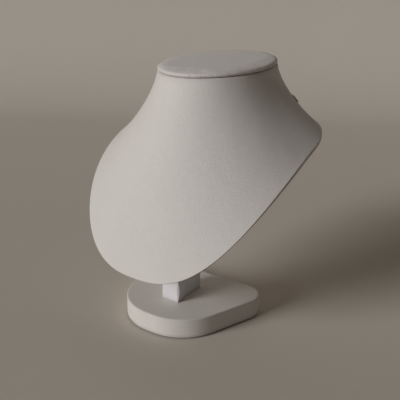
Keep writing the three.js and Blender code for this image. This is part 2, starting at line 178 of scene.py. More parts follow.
def formed(name, columns, ring=True):
    """A grid laid over columns of points and closed on itself where they meet.
    Round a ring the columns go anticlockwise, seen from the end that they finish at."""
    across, along = len(columns), len(columns[0])
    steps = across if ring else across - 1
    select_nothing()
    bpy.ops.mesh.primitive_grid_add(x_subdivisions=steps, y_subdivisions=along - 1, size=1)
    piece = bpy.context.object
    piece.name = piece.data.name = name
    for vertex in piece.data.vertices:
        column = round((vertex.co.x + 0.5) * steps) % across
        row = round((vertex.co.y + 0.5) * (along - 1))
        vertex.co = columns[column][row]
    edit_all(
        piece,
        lambda: bpy.ops.mesh.remove_doubles(threshold=2e-6),
        lambda: bpy.ops.mesh.dissolve_degenerate(threshold=1e-6),
    )
    return piece


def dress(piece, material):
    piece.data.materials.clear()
    piece.data.materials.append(material)


def fit(piece, body, material, slot, *stands_for):
    """A finished piece gets its material and its body, and the CAD nodes that it stands for are hidden.
    The slot is not used.
    """
    dress(piece, material)
    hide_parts(*stands_for)
    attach(piece, body)


BASE_FRONT = 50.9 * MM
BASE_BACK = 50.3 * MM
BASE_HALF_WIDTH = 66 * MM
BASE_FRONT_RADIUS = 47 * MM
BASE_BACK_RADIUS = 19.5 * MM
BASE_FRONT_FLAT = 8.4 * MM
BASE_STEPS = 200
PAD_THICK = 1.05 * MM
PAD_INSET = 1.8 * MM


def arc(centre, radius, start, end, count):
    turns = [start + (end - start) * step / count for step in range(count + 1)]
    return [centre + radius * Vector((math.cos(turn), math.sin(turn))) for turn in turns]


def evenly(points, count):
    """The same closed outline with its points evenly spaced."""
    ring = [*points, points[0]]
    lengths = [(b - a).length for a, b in zip(ring, ring[1:])]
    total, found, walked, leg = sum(lengths), [], 0.0, 0
    for step in range(count):
        target = total * step / count
        while walked + lengths[leg] < target:
            walked += lengths[leg]
            leg += 1
        found.append(ring[leg].lerp(ring[leg + 1], (target - walked) / lengths[leg]))
    return found


def base_outline(inset):
    """The base's edge seen from above: a wide arc in front, slanted sides and two round back corners."""
    front = Vector((BASE_FRONT_FLAT / 2, BASE_FRONT_RADIUS - BASE_FRONT))
    back = Vector((BASE_HALF_WIDTH - BASE_BACK_RADIUS, BASE_BACK - BASE_BACK_RADIUS))
    apart = back - front
    lean = math.acos((BASE_FRONT_RADIUS - BASE_BACK_RADIUS) / apart.length)
    side = math.atan2(apart.y, apart.x) - lean
    half = arc(front, BASE_FRONT_RADIUS - inset, -math.pi / 2, side, 60)
    half += arc(back, BASE_BACK_RADIUS - inset, side, math.pi / 2, 40)
    mirrored = [Vector((-point.x, point.y)) for point in reversed(half)]
    return evenly([*half, *mirrored], BASE_STEPS)


def base_rings(profile):
    """Columns round the base, from pairs of an inset and a height."""
    rings = [[(*point, height) for point in base_outline(inset)] for inset, height in profile]
    return [[Vector(ring[column]) for ring in rings] for column in range(BASE_STEPS)]


def middle_point(height):
    return [Vector((0, 0, height))]


PAD_SOFT = 0.3 * MM
pad_profile = [
    (30 * MM, 0),
    (PAD_INSET + PAD_SOFT, 0),
    (PAD_INSET, PAD_SOFT),
    (PAD_INSET, PAD_THICK - PAD_SOFT),
    (PAD_INSET + PAD_SOFT, PAD_THICK),
    (30 * MM, PAD_THICK),
]
base_pad = formed("felt_pad", [
    middle_point(0) + column + middle_point(PAD_THICK) for column in base_rings(pad_profile)
])
smooth(base_pad, 30)

felt = Finish("felt", Roughness=0.95, Specular_IOR_Level=0.2, Sheen_Weight=0.3)
fibres = felt.noise(2600, 6) * 0.7 + felt.noise(420, 3) * 0.5
felt.paint(Base_Color=felt.between(fibres, rgb(0.010, 0.010, 0.010), rgb(0.055, 0.053, 0.050)))
felt.raise_by(fibres, 0.25 * MM)
fit(base_pad, "stand", felt.material, "base_pad", "base_pad")


# ---- Base ----
# A fibreboard block under white synthetic leather, drawn over its top edge and glued in under it.
# The board is CAD's own. The skin is one sheet with a narrow, softly rounded edge.

GRAIN_SCALE = 900
GRAIN_DEPTH = 0.14 * MM
WEAR_AND_SHADE_TONE = 0.55


def leatherette(name, light, dark, depth=GRAIN_DEPTH):
    """Coated fabric with fine pores and a faint waviness, greyer where it is worn and where shade is
    painted in.
    """
    skin = Finish(name, Specular_IOR_Level=0.42, Sheen_Weight=0.12, Sheen_Roughness=0.4)
    pores = skin.cells(GRAIN_SCALE, "DISTANCE_TO_EDGE")
    fine = skin.noise(GRAIN_SCALE * 2.2, 2)
    wavy = skin.noise(55, 2)
    mottle = skin.noise(14, 3)
    wear_and_shade = skin.painted("wear_and_shade")
    plain = skin.between(mottle * 1.1 - 0.05, dark, light)
    # A greyer tone, used both for worn places and for painted shade.
    worn_and_shaded_tone = rgb(*(WEAR_AND_SHADE_TONE * part for part in dark[:3]))
    spread = wear_and_shade * (0.35 + skin.noise(190, 4) * 0.9)
    skin.paint(
        Base_Color=skin.between(spread, plain, worn_and_shaded_tone),
        Roughness=0.50 + mottle * 0.14 - wear_and_shade * 0.08,
    )
    pit = skin.node("Math", {"operation": "MINIMUM"}, {0: pores * 4.0, 1: 1.0})
    skin.raise_by(pit * 0.8 + fine * 0.35 + wavy * 3.2, depth)
    return skin.material


def mark_wear_and_shade(piece, measure):
    """Marks how greyed each point of a piece is, from 0 to 1: by wear, and by painted shade."""
    marks = piece.data.attributes.new("wear_and_shade", "FLOAT", "POINT")
    for vertex, mark in zip(piece.data.vertices, marks.data):
        mark.value = max(0.0, min(1.0, measure(vertex.co)))


BASE_HEIGHT = 20 * MM
POST_HALF_WIDTH = 9 * MM
POST_HALF_DEPTH = 19.3 * MM
HIDE = 0.7 * MM
BASE_EDGE = 1.15 * MM
BASE_FOOT = 1.2 * MM
BASE_SKIN_LOW = PAD_THICK + 0.1 * MM
BASE_TURN_IN = 9 * MM
QUARTER = math.pi / 2

base_profile = [(BASE_TURN_IN, BASE_SKIN_LOW), (1.8 * MM, BASE_SKIN_LOW)]
for step in range(1, 5):
    turn = QUARTER * step / 4
    height = BASE_SKIN_LOW + BASE_FOOT * (1 - math.cos(turn))
    base_profile.append((BASE_FOOT * (1 - math.sin(turn)), height))
base_profile += [(0, BASE_HEIGHT * share) for share in (0.25, 0.4, 0.55, 0.7, 0.82)]
for step in range(0, 7):
    turn = QUARTER * step / 6
    height = BASE_HEIGHT - BASE_EDGE * (1 - math.sin(turn))
    base_profile.append((BASE_EDGE * (1 - math.cos(turn)), height))
base_profile += [(inset * MM, BASE_HEIGHT) for inset in (3, 6)]


WINDOW_HALF_WIDTH = POST_HALF_WIDTH - 2 * MM
WINDOW_HALF_DEPTH = POST_HALF_DEPTH - 2 * MM


def toward_window(point):
    """Where the line from the middle to a point leaves the window under the post."""
    return point / max(abs(point.x) / WINDOW_HALF_WIDTH, abs(point.y) / WINDOW_HALF_DEPTH)


base_columns = base_rings(base_profile)
for column in base_columns:
    inner = Vector((column[-1].x, column[-1].y))
    for share in (0.25, 0.5, 0.75, 1.0):
        column.append(Vector((*inner.lerp(toward_window(inner), share), BASE_HEIGHT)))
base_skin = formed("base_covering", base_columns)
modify(base_skin, "SOLIDIFY", thickness=HIDE, offset=-1)
smooth(base_skin)


BASE_EDGE_POINTS = base_outline(0)[::2]


def base_wear_and_shade(place):
    """Wear a little along the top edge, and most at the foot: painted shade where the base meets the
    floor.
    """
    top = 1 - abs(place.z - (BASE_HEIGHT - 0.5 * MM)) / (1.2 * MM)
    foot = 1 - (place.z - PAD_THICK) / (3.5 * MM)
    edge = min((Vector((place.x, place.y)) - point).length for point in BASE_EDGE_POINTS)
    return max(0.35 * top * (1 - edge / (3 * MM)), foot * 0.7)


mark_wear_and_shade(base_skin, base_wear_and_shade)

WARM_WHITE = rgb(0.790, 0.760, 0.725)
WARM_SHADE = rgb(0.735, 0.705, 0.670)
base_leather = leatherette("base_leatherette", WARM_WHITE, WARM_SHADE)
fit(base_skin, "stand", base_leather, "leatherette", "base_cover")


# ---- Boards, screws, foam and shell ----
# The pieces inside: sawn fibreboard, a softwood block, zinc-plated screws and washers, a moulded shell
# and a foam pad. CAD's shapes are right, so they only get their finishes.

board = Finish("fibreboard", Roughness=0.85, Specular_IOR_Level=0.25)
chips = board.cells(900) * 0.6 + board.noise(300, 5) * 0.6
board.paint(Base_Color=board.between(chips, rgb(0.20, 0.125, 0.065), rgb(0.42, 0.29, 0.17)))
board.raise_by(chips, 0.15 * MM)

wood = Finish("softwood", Roughness=0.7, Specular_IOR_Level=0.3)
rings = wood.node(
    "TexWave",
    {"wave_type": "RINGS", "rings_direction": "Z"},
    {"Vector": wood.place(), "Scale": 55.0, "Distortion": 3.0, "Detail": 3.0},
    output="Fac",
)
wood.paint(
    Base_Color=wood.between(rings, rgb(0.52, 0.36, 0.19), rgb(0.68, 0.52, 0.32)),
    Roughness=0.62 + rings * 0.15,
)
wood.raise_by(rings + wood.noise(1500, 4), 0.08 * MM)

zinc = Finish("zinc_plate", Metallic=1.0)
streaks = zinc.noise(700, 5)
zinc.paint(
    Base_Color=zinc.between(streaks, rgb(0.48, 0.50, 0.52), rgb(0.72, 0.73, 0.74)),
    Roughness=0.22 + streaks * 0.2,
)
zinc.raise_by(streaks, 0.02 * MM)

shell = Finish("moulded_shell", Specular_IOR_Level=0.4)
flow = shell.noise(60, 4)
shell.paint(
    Base_Color=shell.between(flow, rgb(0.60, 0.57, 0.52), rgb(0.70, 0.67, 0.62)),
    Roughness=0.5 + flow * 0.2,
)
shell.raise_by(shell.noise(900, 3), 0.05 * MM)

foam = Finish("foam", Roughness=0.95, Specular_IOR_Level=0.1)
bubbles = foam.cells(1400, "DISTANCE_TO_EDGE")
foam.paint(Base_Color=foam.between(bubbles * 3.0, rgb(0.55, 0.49, 0.33), rgb(0.82, 0.77, 0.60)))
foam.raise_by(bubbles * 3.0, 0.3 * MM)

inside = {
    board: ["base_board", "post_block", "neck_board", "cap_board"],
    wood: ["fixing_block"],
    shell: ["bust_shell"],
    foam: ["cap_foam"],
    zinc: [
        "base_screw_front", "base_screw_rear", "bust_screw_front", "bust_screw_rear",
        "bust_washer_front", "bust_washer_rear", "cap_screw_left", "cap_screw_right",
    ],
}
for finish, names in inside.items():
    for name in names:
        nodes[name].material_slots[0].material = finish.material


# ---- Underside ----
# A curved fibreboard closes the bust underneath. A panel of the same leatherette is glued over it,
# set in from the rim so that it covers the turned-in edge of the bust's own skin.

RIM_HALF_WIDTH = 101.5 * MM
RIM_FRONT_REACH = 118.5 * MM
RIM_BACK_REACH = 75.5 * MM
RIM_Y = 49.2 * MM
RIM_SQUARENESS = 2.59
RIM_FRONT_Z = 62.4 * MM
RIM_BACK_Z = 187.8 * MM
RIM_FRONT_SLOPE = math.tan(math.radians(59.1))
RIM_BACK_SLOPE = math.tan(math.radians(17))
ROUND = 180
UNDER_MIDDLE = Vector((0, RIM_Y - 10 * MM, 0))
DOWN = Vector((0, 0, -1))


def under_height(y):
    """Height of the rim's surface at a distance from the front: a cubic with a slope at each end."""
    start, end = RIM_Y - RIM_FRONT_REACH, RIM_Y + RIM_BACK_REACH
    span = end - start
    u = (y - start) / span
    if u < 0:
        return RIM_FRONT_Z + (y - start) * RIM_FRONT_SLOPE
    if u > 1:
        return RIM_BACK_Z + (y - end) * RIM_BACK_SLOPE
    low = (2 * u**3 - 3 * u**2 + 1) * RIM_FRONT_Z
    high = (3 * u**2 - 2 * u**3) * RIM_BACK_Z
    leaving = (u**3 - 2 * u**2 + u) * span * RIM_FRONT_SLOPE
    arriving = (u**3 - u**2) * span * RIM_BACK_SLOPE
    return low + high + leaving + arriving


def rim_point(angle):
    """The rim's point at an angle round from the front."""
    reach = RIM_FRONT_REACH if math.cos(angle) > 0 else RIM_BACK_REACH
    across = abs(math.sin(angle) / RIM_HALF_WIDTH) ** RIM_SQUARENESS
    along = abs(math.cos(angle) / reach) ** RIM_SQUARENESS
    radius = (across + along) ** (-1 / RIM_SQUARENESS)
    y = RIM_Y - radius * math.cos(angle)
    return Vector((radius * math.sin(angle), y, under_height(y)))


def rim_inward(angle):
    """The level direction from the rim straight into the bust."""
    ahead, behind = rim_point(angle + 1e-3), rim_point(angle - 1e-3)
    return Vector((behind.y - ahead.y, ahead.x - behind.x, 0)).normalized()


def under_point(angle, inset, drop, share=0.0):
    """A point below the rim's surface, set in from the rim and then a share of the way to the middle."""
    flat = rim_point(angle) + inset * rim_inward(angle)
    flat = flat.lerp(UNDER_MIDDLE, share)
    return Vector((flat.x, flat.y, under_height(flat.y) - drop))


round_angles = [2 * math.pi * step / ROUND for step in range(ROUND)]


UNDER_EDGE = 0.2 * MM
UNDER_SHARES = (0.12, 0.3, 0.5, 0.7, 0.85, 1)


def under_slab(name, inset, low, high):
    """A curved board or panel between two depths, with its edge softened."""
    edge = UNDER_EDGE
    columns = []
    for angle in round_angles:
        column = [under_point(angle, inset, low, share) for share in reversed(UNDER_SHARES)]
        column += [
            under_point(angle, inset + edge, low),
            under_point(angle, inset, low - edge),
            under_point(angle, inset, high + edge),
            under_point(angle, inset + edge, high),
        ]
        column += [under_point(angle, inset, high, share) for share in UNDER_SHARES]
        columns.append(column)
    return formed(name, columns)


RIM_BAND = 3.7 * MM
BOARD_INSET = 1.2 * MM
BOARD_TOP = 0.3 * MM
BOARD_FOOT = 2.5 * MM
under_board = under_slab("underside_board", BOARD_INSET, BOARD_FOOT, BOARD_TOP)
smooth(under_board, 35)
fit(under_board, "stand", board.material, "fibreboard", "under_board")

PANEL_INSET = 3.2 * MM
PANEL_TOP = RIM_BAND + 0.05 * MM
PANEL_FOOT = RIM_BAND + 0.6 * MM
# The panel is greyed evenly all over, and its leatherette tones below are darker than the rest: painted
# shade, as the panel faces down.
PANEL_SHADE = 0.12
under_panel = under_slab("underside_panel", PANEL_INSET, PANEL_FOOT, PANEL_TOP)
smooth(under_panel, 50)
mark_wear_and_shade(under_panel, lambda place: PANEL_SHADE)
UNDER_SHADED_PALE = rgb(0.74, 0.715, 0.68)
UNDER_SHADED_DEEP = rgb(0.68, 0.655, 0.62)
under_leather = leatherette("underside_shaded_leatherette", UNDER_SHADED_PALE, UNDER_SHADED_DEEP)
fit(under_panel, "stand", under_leather, "leatherette", "under_cover")


# ---- Post ----
# A fibreboard block cut to the slope of the underside and wrapped in one strip of leatherette.
# The strip's end laps over the strip itself beside the front corner. It stands past the corner a little,
# with its cut edge in view, and bows out where the glue has let go.

POST_FOOT = BASE_HEIGHT + 0.05 * MM
POST_CORNER = 0.9 * MM
POST_HEAD_GAP = RIM_BAND + 0.75 * MM
LAP_OFF = HIDE + 0.3 * MM
LAP_PAST = 0.9 * MM
LAP_BACK = POST_HALF_DEPTH - 11 * MM
LAP_BOW = 1.3 * MM
LAP_BOW_HEIGHT = 24 * MM
LAP_LOOSE_WIDTH = 9.5 * MM
POST_BEVEL = 0.12 * MM


def corner(centre_x, centre_y, start):
    return arc(Vector((centre_x, centre_y)), POST_CORNER, start, start + math.pi / 2, 5)


def side_points(first, last, count=10):
    return [first.lerp(last, step / count) for step in range(1, count)]


# The outer face seen from above, anticlockwise from the end that laps over.
inner_x, inner_y = POST_HALF_WIDTH - POST_CORNER, POST_HALF_DEPTH - POST_CORNER
lap_x = POST_HALF_WIDTH + LAP_OFF
wrap = [Vector((lap_x, -POST_HALF_DEPTH - LAP_PAST)), Vector((lap_x, -POST_HALF_DEPTH + 0.8 * MM))]
wrap += side_points(wrap[-1], Vector((lap_x, -LAP_BACK - 4 * MM)), 4)
wrap += [Vector((lap_x, -LAP_BACK - 4 * MM)), Vector((lap_x - 0.3 * LAP_OFF, -LAP_BACK - 2 * MM))]
wrap.append(Vector((POST_HALF_WIDTH, -LAP_BACK)))
lap_count = len(wrap)
wrap += side_points(wrap[-1], Vector((POST_HALF_WIDTH, inner_y)))
wrap += corner(inner_x, inner_y, 0)
wrap += side_points(wrap[-1], Vector((-inner_x, POST_HALF_DEPTH)), 5)
wrap += corner(-inner_x, inner_y, math.pi / 2)
wrap += side_points(wrap[-1], Vector((-POST_HALF_WIDTH, -inner_y)))
wrap += corner(-inner_x, -inner_y, math.pi)
wrap += side_points(wrap[-1], Vector((inner_x, -POST_HALF_DEPTH)), 5)
wrap += corner(inner_x, -inner_y, -math.pi / 2)
wrap.append(Vector((POST_HALF_WIDTH, -LAP_BACK - 5 * MM)))

POST_ROWS = 48
post_columns = []
for index, flat in enumerate(wrap):
    top = under_height(flat.y) - POST_HEAD_GAP
    loose = 0
    if index < lap_count:
        loose = max(0, -LAP_BACK - 2 * MM - flat.y) / LAP_LOOSE_WIDTH
    column = []
    for row in range(POST_ROWS + 1):
        height = POST_FOOT + (top - POST_FOOT) * (row / POST_ROWS) ** 1.25
        wave = math.pi * (height - POST_FOOT) / LAP_BOW_HEIGHT
        settle = math.exp(-max(0, wave - math.pi) / 2)
        bow = LAP_BOW * loose**2 * math.sin(wave) ** 2 * settle
        column.append(Vector((flat.x + bow, flat.y + 0.2 * bow, height)))
    post_columns.append(column)
post_wrap = formed("post_wrap", post_columns, ring=False)
modify(post_wrap, "SOLIDIFY", thickness=HIDE, offset=-1)
sharp = math.radians(60)
modify(post_wrap, "BEVEL", width=POST_BEVEL, segments=2, limit_method="ANGLE", angle_limit=sharp)
smooth(post_wrap, 50)
# The wrap is greyed toward its foot: painted shade where the post stands on the base.
mark_wear_and_shade(post_wrap, lambda place: 0.5 - (place.z - POST_FOOT) / (8 * MM))

COOL_WHITE = rgb(0.800, 0.790, 0.800)
COOL_SHADE = rgb(0.750, 0.740, 0.750)
post_leather = leatherette("post_leatherette", COOL_WHITE, COOL_SHADE)
fit(post_wrap, "stand", post_leather, "leatherette", "post_cover")


# ---- Bust ----
# A moulded shell under one sheet of white synthetic leather, stretched smooth from the neck to the rim.
# At the neck and at the rim the sheet rolls over the edge and is glued in behind it.

NECK_HALF_WIDTH = 52.7 * MM
NECK_HALF_DEPTH = 62.4 * MM
NECK_CENTRE = Vector((0, 55.2 * MM, 231.8 * MM))
NECK_TILT = math.radians(5.7)
NECK_ANGLES = [math.radians(angle) for angle in (11.4, 7.2, 4.9)]
RIM_ANGLES = [math.radians(angle) for angle in (14, 52.1, 63.5)]
NECK_PULLS = (0.245, 0.227, 0.227)
RIM_PULLS = (0.31, 0.322, 0.322)
FLARE_ROWS = 40
FLARE_FROM = 0.026
FLARE_TO = 0.993
NECK_TURN_IN = (7, 5, 3)
RIM_TURN_IN = (2, 4, 7)
NECK_ROUND = 1.9 * MM
RIM_EDGE = 0.3 * MM
RIM_FOOT = 0.45 * MM
BUST_SKIN = 0.8 * HIDE


def tilted(flat):
    """A place in the neck's own plane, where the front is the low side."""
    turned = Vector((
        flat.x,
        flat.y * math.cos(NECK_TILT) - flat.z * math.sin(NECK_TILT),
        flat.y * math.sin(NECK_TILT) + flat.z * math.cos(NECK_TILT),
    ))
    return NECK_CENTRE + turned


def round_value(values, angle):
    """A value at an angle round from the front, from its values at the front, the side and the back."""
    front, side, back = values
    end = front if math.cos(angle) > 0 else back
    return side * math.sin(angle) ** 2 + end * math.cos(angle) ** 2


def flare_line(angle):
    """The curve that runs down the bust at an angle round from the front, from the neck to the rim."""
    outward = Vector((math.sin(angle), -math.cos(angle), 0))
    neck = tilted(Vector((NECK_HALF_WIDTH * math.sin(angle), -NECK_HALF_DEPTH * math.cos(angle), 0)))
    rim = rim_point(angle)
    length = (rim - neck).length

    def handle(slope, pull):
        return (outward * math.sin(slope) + DOWN * math.cos(slope)) * length * pull

    leaving = neck + handle(round_value(NECK_ANGLES, angle), round_value(NECK_PULLS, angle))
    arriving = rim - handle(round_value(RIM_ANGLES, angle), round_value(RIM_PULLS, angle))
    return neck, leaving, arriving, rim


def along_curve(handles, share):
    """A point of a curve through its first and last handles, pulled by those between them."""
    points = list(handles)
    while len(points) > 1:
        points = [a.lerp(b, share) for a, b in zip(points, points[1:])]
    return points[0]


def rounded(corner_point, coming, going, reach, count):
    """The points that take a curve softly round a corner."""
    handles = (corner_point - coming * reach, corner_point, corner_point + going * reach)
    return [along_curve(handles, step / count) for step in range(count + 1)]


def bust_column(angle):
    """Down the covering: turned in at the neck, over the flare, and turned in under the rim."""
    line = flare_line(angle)
    neck, rim = line[0], line[3]
    down_neck = (line[1] - neck).normalized()
    down_rim = (rim - line[2]).normalized()
    into_neck = (NECK_CENTRE - neck).normalized()
    column = [neck + into_neck * step * MM for step in NECK_TURN_IN]
    column += rounded(neck, -into_neck, down_neck, NECK_ROUND, 6)
    shares = [FLARE_FROM + (FLARE_TO - FLARE_FROM) * row / FLARE_ROWS for row in range(FLARE_ROWS + 1)]
    column += [along_curve(line, share) for share in shares]
    # The edge stands square to the underside, which climbs from the rim at this rate.
    rise = max(0, under_height(rim.y + rim_inward(angle).y * MM) - rim.z) / MM
    low_inset = RIM_BAND * rise / (1 + rise**2)
    low = under_point(angle, low_inset, RIM_BAND)
    band_way = (low - rim).normalized()
    under = (under_point(angle, low_inset + 1 * MM, RIM_BAND) - low).normalized()
    column += rounded(rim, down_rim, band_way, RIM_EDGE, 4)
    column += rounded(low, band_way, under, RIM_FOOT, 4)
    column += [under_point(angle, inset * MM, RIM_BAND) for inset in RIM_TURN_IN]
    return column


# The columns run down the bust, so they go round it clockwise to face out.
bust_columns = [bust_column(-angle) for angle in round_angles]
bust_skin = formed("bust_covering", bust_columns)
modify(bust_skin, "SOLIDIFY", thickness=BUST_SKIN, offset=-1)
smooth(bust_skin, 60)


def bust_shade(place):
    """Painted shade where the sheet is turned in under the rim, and a little just below the neck's edge,
    under the cap.
    """
    turned_in = (under_height(place.y) - place.z - 0.2 * MM) / (0.6 * MM)
    neck_height = NECK_CENTRE.z + (place.y - NECK_CENTRE.y) * math.tan(NECK_TILT)
    neck_near = 1 - (neck_height - place.z) / (5 * MM)
    return max(min(turned_in, 1), neck_near * 0.25)


mark_wear_and_shade(bust_skin, bust_shade)
bust_leather = leatherette("bust_leatherette", WARM_WHITE, WARM_SHADE)
fit(bust_skin, "stand", bust_leather, "leatherette", "bust_cover")


# ---- Cap ----
# A thin pad of foam on an oval board, under leatherette that is pulled round its edge and gathered below.
# The covering is blown up against its glued hem as stretched cloth is, then gets its gathers and a tuck.

CAP_HALF_WIDTH = 53.7 * MM
CAP_HALF_DEPTH = 63.4 * MM
CAP_BED = 0.15 * MM
CAP_LOW = -0.1 * MM
CAP_HEIGHT = 7.0 * MM
CAP_CROWN = 1.1 * MM
CAP_WIDEST = 1.0
CAP_UNDER_ROLL = 2.7 * MM
CAP_TOP_ROLL = 11 * MM
CAP_SWELL = 0.45 * MM
CAP_HEM = 1.2 * MM
CAP_VOXEL = 1.7 * MM
CAP_PRESSURE = 4
CAP_FRAMES = 20
CAP_COLUMNS = 160


def cap_place(angle, radius_share, height):
    flat = Vector((
        CAP_HALF_WIDTH * radius_share * math.sin(angle),
        -CAP_HALF_DEPTH * radius_share * math.cos(angle),
        height,
    ))
    return tilted(flat)


cap_profile = [(share, CAP_BED) for share in (0, 0.3, 0.6, 0.8, 0.88)]
for step in range(0, 6):
    turn = QUARTER * step / 5
    share = CAP_WIDEST - CAP_UNDER_ROLL * (1 - math.sin(turn)) / CAP_HALF_WIDTH
    cap_profile.append((share, CAP_LOW + CAP_UNDER_ROLL * (1 - math.cos(turn))))
shoulder = CAP_HEIGHT - CAP_CROWN
for step in range(1, 9):
    turn = QUARTER * step / 8
    share = CAP_WIDEST - CAP_TOP_ROLL * (1 - math.cos(turn)) / CAP_HALF_WIDTH
    middle = CAP_LOW + CAP_UNDER_ROLL
    cap_profile.append((share, middle + (shoulder - middle) * math.sin(turn)))
top_edge = cap_profile[-1][0]
for share in (0.92, 0.8, 0.6, 0.4, 0.2, 0):
    cap_profile.append((top_edge * share, CAP_HEIGHT - CAP_CROWN * share**2))
cap_angles = [-2 * math.pi * column / CAP_COLUMNS for column in range(CAP_COLUMNS)]
cap_columns = [
    [cap_place(angle, share, height) for share, height in reversed(cap_profile)]
    for angle in cap_angles
]
cap = formed("cap_pad", cap_columns)
modify(cap, "REMESH", mode="VOXEL", voxel_size=CAP_VOXEL, use_smooth_shade=True)
modify(cap, "SMOOTH", factor=0.5, iterations=4)


def cap_level(place):
    """A place seen from the neck's own plane, level and centred."""
    away = place - NECK_CENTRE
    return Vector((
        away.x,
        away.y * math.cos(NECK_TILT) + away.z * math.sin(NECK_TILT),
        away.z * math.cos(NECK_TILT) - away.y * math.sin(NECK_TILT),
    ))


glued = cap.vertex_groups.new(name="glued")
hem_top = CAP_LOW + CAP_HEM
hem = [vertex.index for vertex in cap.data.vertices if cap_level(vertex.co).z < hem_top]
glued.add(hem, 1.0, "REPLACE")
before = [vertex.co.copy() for vertex in cap.data.vertices]
select_only(cap)
bpy.ops.object.modifier_add(type="CLOTH")
cloth = cap.modifiers[-1]
cloth.settings.use_pressure = True
cloth.settings.uniform_pressure_force = CAP_PRESSURE
cloth.settings.vertex_group_mass = "glued"
cloth.settings.effector_weights.gravity = 0
cloth.point_cache.frame_start, cloth.point_cache.frame_end = 1, CAP_FRAMES
for number in range(1, CAP_FRAMES + 1):
    bpy.context.scene.frame_set(number)
bpy.ops.object.modifier_apply(modifier=cloth.name)
bpy.context.scene.frame_set(1)
for vertex, start in zip(cap.data.vertices, before):
    moved = vertex.co - start
    if moved.length > CAP_SWELL:
        vertex.co = start + moved * (CAP_SWELL / moved.length)
modify(cap, "SUBSURF", levels=1, render_levels=1)
modify(cap, "SMOOTH", factor=0.5, iterations=24)

GATHERS = 70
GATHER_DEPTH = 0.22 * MM
GATHER_HEIGHT = 2.4 * MM
TUCK_HEIGHT = 4.5 * MM
EDGE_FROM = 0.7
EDGE_WIDTH = 0.25
# Each tuck's place round from the front, its depth and its width.
TUCKS = ((math.radians(121), 1.1 * MM, 0.05), (math.radians(-66), 0.5 * MM, 0.07))
for vertex in cap.data.vertices:
    level = cap_level(vertex.co)
    angle = math.atan2(level.x / CAP_HALF_WIDTH, -level.y / CAP_HALF_DEPTH)
    radius = math.hypot(level.x / CAP_HALF_WIDTH, level.y / CAP_HALF_DEPTH)
    if radius < EDGE_FROM:
        continue
    edge = min(1, (radius - EDGE_FROM) / EDGE_WIDTH)
    low = max(0, 1 - (level.z - CAP_LOW) / GATHER_HEIGHT)
    tuck_low = max(0, 1 - (level.z - CAP_LOW) / TUCK_HEIGHT)
    waver = math.sin(GATHERS * angle + 1.7 * math.sin(5 * angle) + 0.9 * math.sin(13 * angle))
    strength = 0.5 + 0.5 * math.sin(3 * angle + 0.6) * math.sin(7 * angle + 2.1)
    depth = GATHER_DEPTH * waver * strength * edge * low
    for tuck_angle, tuck_depth, tuck_width in TUCKS:
        apart = math.atan2(math.sin(angle - tuck_angle), math.cos(angle - tuck_angle))
        groove = math.exp(-((apart / tuck_width) ** 2))
        ridge = math.exp(-(((apart - 1.6 * tuck_width) / tuck_width) ** 2))
        depth -= tuck_depth * groove * edge * tuck_low
        depth += 0.4 * tuck_depth * ridge * edge * low
    outward = Vector((level.x, level.y, 0)).normalized()
    vertex.co += (tilted(outward) - NECK_CENTRE) * depth
smooth(cap, 80)


def cap_rub(place):
    level = cap_level(place)
    radius = math.hypot(level.x / CAP_HALF_WIDTH, level.y / CAP_HALF_DEPTH)
    return (radius - 0.9) / 0.6


mark_wear_and_shade(cap, cap_rub)
cap_leather = leatherette("cap_leatherette", WARM_WHITE, WARM_SHADE)
fit(cap, "stand", cap_leather, "leatherette", "cap_cover")


# ---- Nape strap ----
# A strip of leatherette round the back of the neck, which keeps a chain from slipping. Its fixed end is
# folded under and riveted to the shell, and its free end closes with a patch of hook-and-loop tape.

STRAP_LOW = 197 * MM
STRAP_HEIGHT = 8.5 * MM
STRAP_THICK = 0.8 * MM
STRAP_ROOM = 1.7 * MM
TAPE_ROOM = 0.7 * MM
STRAP_END = math.radians(124)
STRAP_TAB = math.radians(13)
HINGE_ANGLE = 2 * math.pi - STRAP_END - STRAP_TAB
STRAP_MIDDLE = STRAP_LOW + STRAP_HEIGHT / 2
TAPE_END = STRAP_END + math.radians(14.2)
TAPE_RISE = math.radians(9)
BEND_BEFORE = 2.2 * MM
BEND_AFTER = 2.8 * MM


def skin_frame(angle, height):
    """The point of the bust's surface at an angle and a height, and the way out of it."""
    line = flare_line(angle)
    low, high = 0.0, 1.0
    for _ in range(24):
        share = (low + high) / 2
        if along_curve(line, share).z > height:
            low = share
        else:
            high = share
    point = along_curve(line, share)
    down = along_curve(line, share + 0.01) - along_curve(line, share - 0.01)
    beside = along_curve(flare_line(angle + 0.002), share) - along_curve(flare_line(angle - 0.002), share)
    return point, down.cross(beside).normalized()


def standing_off(angle, height, distance):
    point, out = skin_frame(angle, height)
    return point + out * distance


def strap_room(angle):
    """How far the strap's inner face stands off the skin: less over the tape, where it is pressed down."""
    rising = max(0.0, min(1.0, (angle - TAPE_END) / TAPE_RISE))
    return TAPE_ROOM + (STRAP_ROOM - TAPE_ROOM) * rising**2 * (3 - 2 * rising)


outer_layer = STRAP_ROOM + STRAP_THICK / 2
inner_layer = 0.3 * MM + STRAP_THICK / 2
fold_angle = HINGE_ANGLE + STRAP_TAB - math.radians(1)
UNDER_FROM = HINGE_ANGLE + math.radians(1.5)
UNDER_STEP = math.radians(0.95)
FOLD_BULGE = math.radians(0.9)
FOLD_ROWS = 18

# Pairs of an angle and a distance from the skin: the folded end, the fold, and then the strap itself.
strap_path = [(UNDER_FROM + UNDER_STEP * step, inner_layer) for step in range(11)]
fold_height = (outer_layer - inner_layer) / 2
for step in range(1, 8):
    turn = math.pi * step / 8 - QUARTER
    bulge = FOLD_BULGE * math.cos(turn)
    strap_path.append((fold_angle + bulge, inner_layer + fold_height * (1 + math.sin(turn))))
STRAP_STEPS = 110
for step in range(STRAP_STEPS + 1):
    angle = fold_angle + (STRAP_END - fold_angle) * step / STRAP_STEPS
    strap_path.append((angle, strap_room(angle) + STRAP_THICK / 2))

